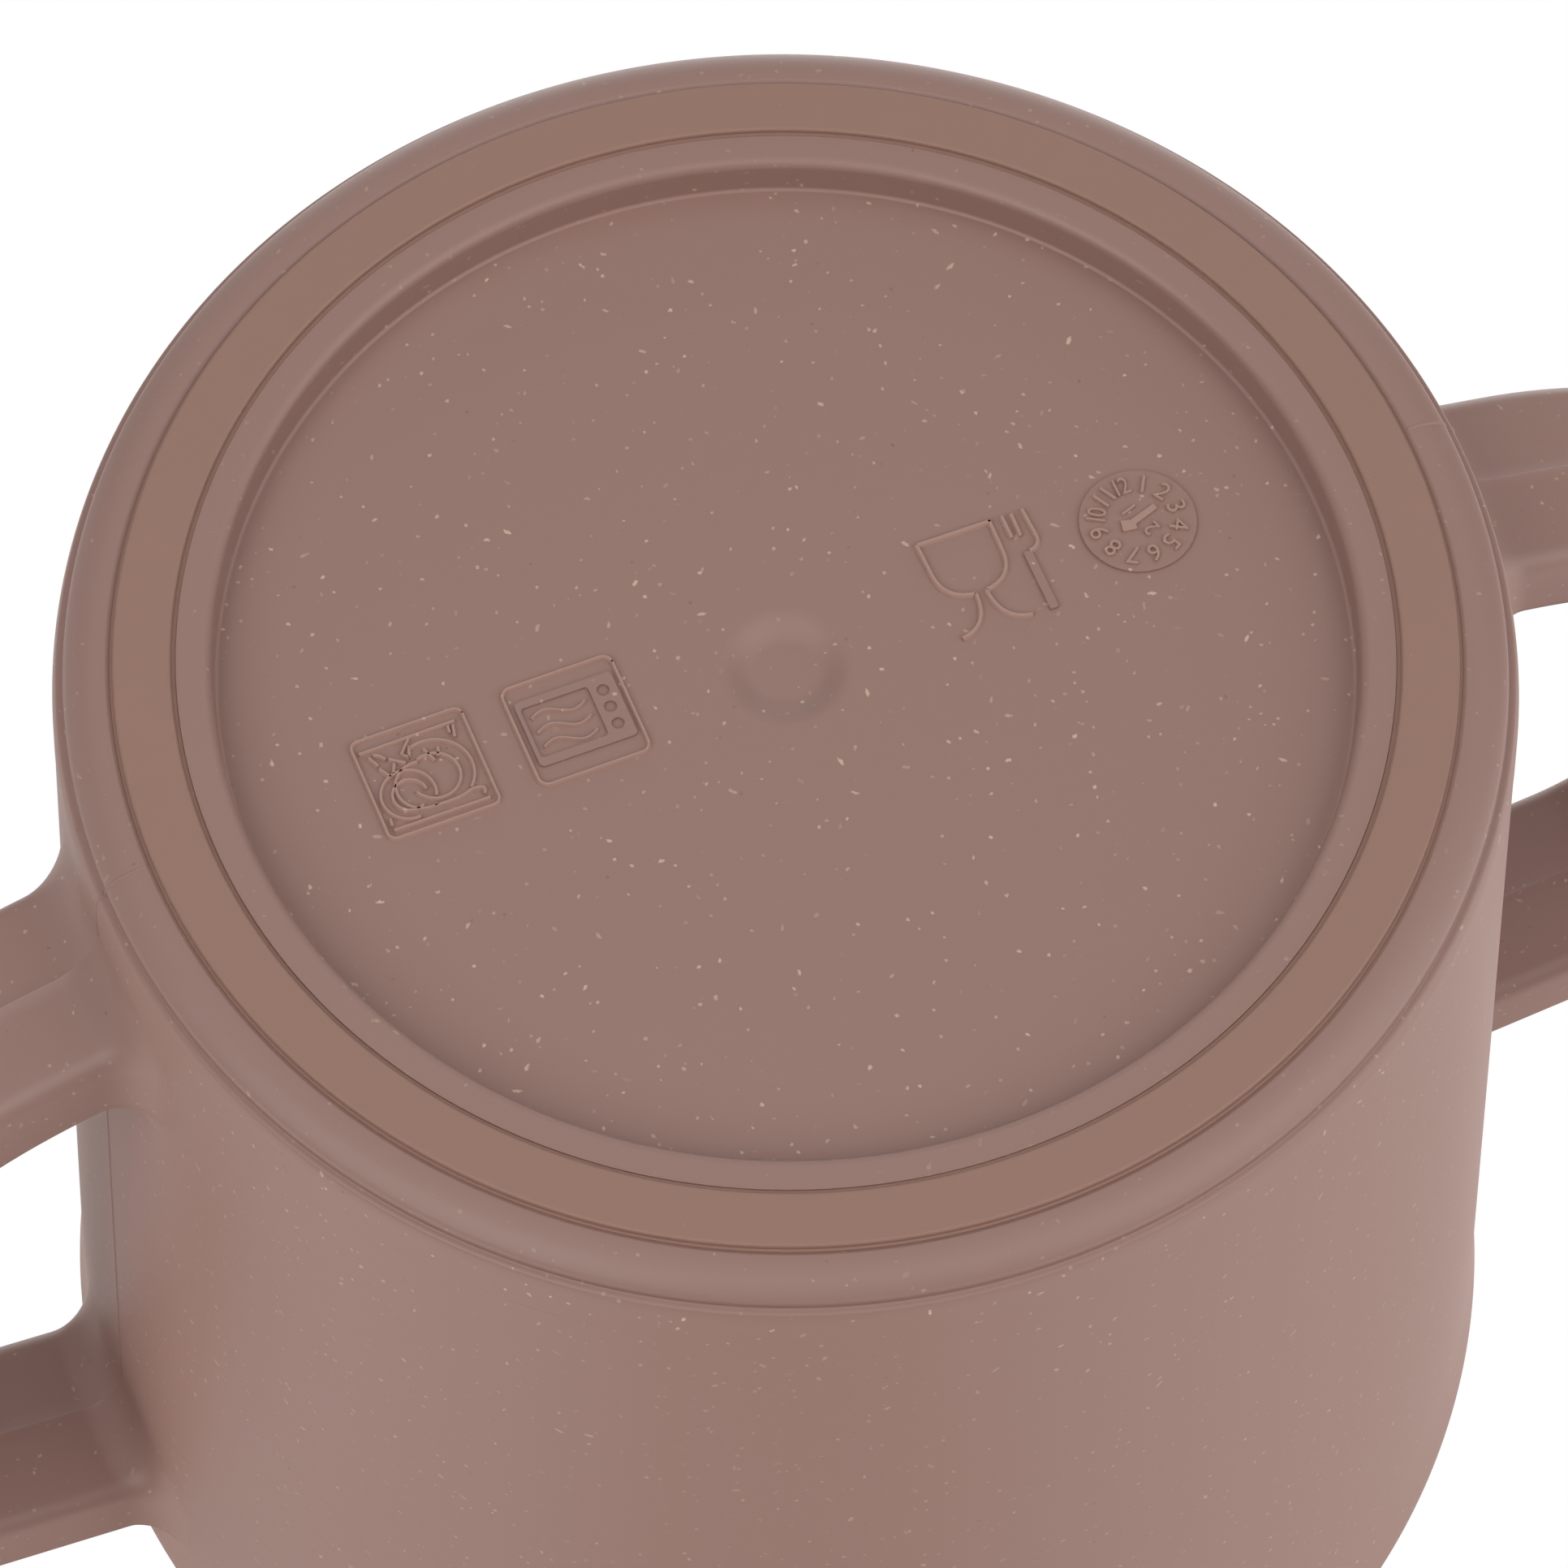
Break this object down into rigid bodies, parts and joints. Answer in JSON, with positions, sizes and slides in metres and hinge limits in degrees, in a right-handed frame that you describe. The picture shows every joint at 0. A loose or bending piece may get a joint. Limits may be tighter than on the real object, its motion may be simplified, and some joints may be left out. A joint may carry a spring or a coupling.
{
  "type": "toddler cup",
  "caption": "Tapered toddler cup of speckled plastic with a loop handle on each side, a recessed base and a pull-out soft anti-slip ring that it stands on.",
  "frame": {"origin": "centre of the ring's resting face, on the surface that the cup stands on", "axes": "+Z from the base to the mouth, +X towards the right handle"},
  "size_m": [0.12, 0.076, 0.0642],
  "materials": {
    "speckled_plastic": "satin mauve plastic with fine pale fibre specks",
    "soft_ring": "plain matte silicone without specks"
  },
  "bodies": {
    "cup": {"cup_body": "speckled_plastic", "left_handle": "speckled_plastic", "right_handle": "speckled_plastic"},
    "ring": {"anti_slip_ring": "soft_ring"}
  },
  "joints": [
    {"name": "ring_pull", "type": "slide", "parent": "cup", "child": "ring", "axis": [0, 0, -1], "range_m": [0, 0.01]}
  ]
}
